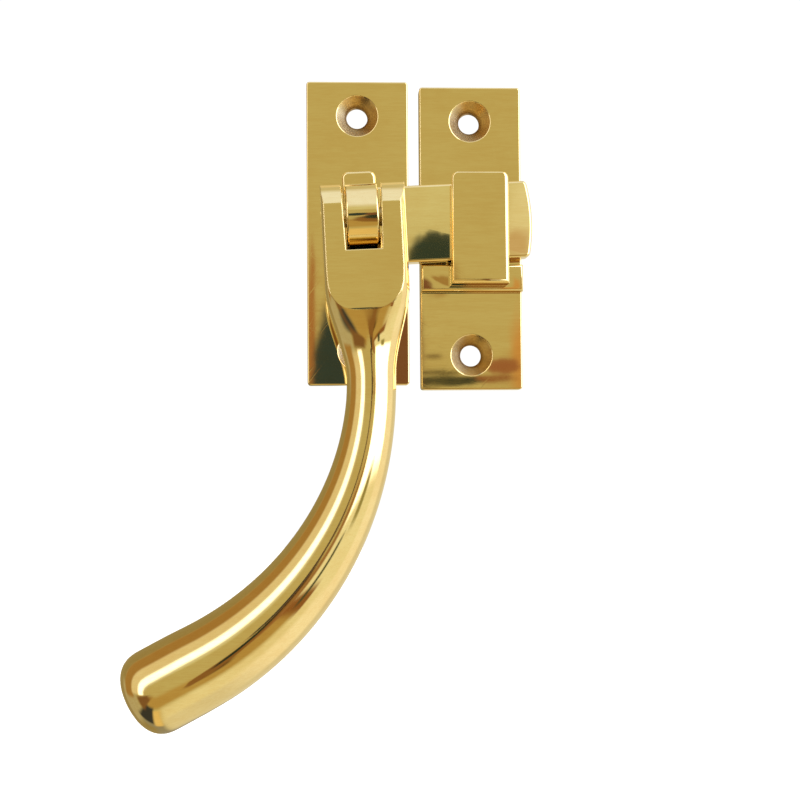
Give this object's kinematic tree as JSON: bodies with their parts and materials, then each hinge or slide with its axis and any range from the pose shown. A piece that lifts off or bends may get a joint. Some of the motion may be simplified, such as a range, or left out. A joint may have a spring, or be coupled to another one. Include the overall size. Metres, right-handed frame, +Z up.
{
  "type": "casement window fastener",
  "caption": "Reversible brass casement fastener: a turning tongue drops behind a hook keeper, and its hinged bulb-end handle flips over to change hand.",
  "frame": {"origin": "middle of the lower edge of the fastener plate's back face, on the mounting plane", "axes": "+X across the window towards the keeper, +Z up along the plates, +Y into the window frame, so the fastener stands out towards -Y"},
  "size_m": [0.0781, 0.0257, 0.1244],
  "materials": {
    "polished_brass": "polished and lacquered, with a faint grain on the flat faces",
    "turned_brass": "as turned",
    "spring_steel": "bright spring steel"
  },
  "bodies": {
    "plates": {"fastener_plate": "polished_brass", "hook_keeper": "polished_brass"},
    "turning_unit": {"tongue": "polished_brass", "pivot_block": "polished_brass", "spindle": "turned_brass", "spring_washer": "spring_steel", "tail_washer": "turned_brass"},
    "handle": {"handle": "polished_brass", "hinge_pin": "turned_brass"}
  },
  "joints": [
    {"name": "spindle_turn", "type": "hinge", "parent": "plates", "child": "turning_unit", "pos_m": [0.00045, 0, 0.0307], "axis": [0, -1, 0], "range_deg": [0, 180]},
    {"name": "handle_flip", "type": "hinge", "parent": "turning_unit", "child": "handle", "pos_m": [0.00045, -0.0177, 0.0307], "axis": [-0.999, 0, -0.0454], "range_deg": [0, 180]}
  ]
}
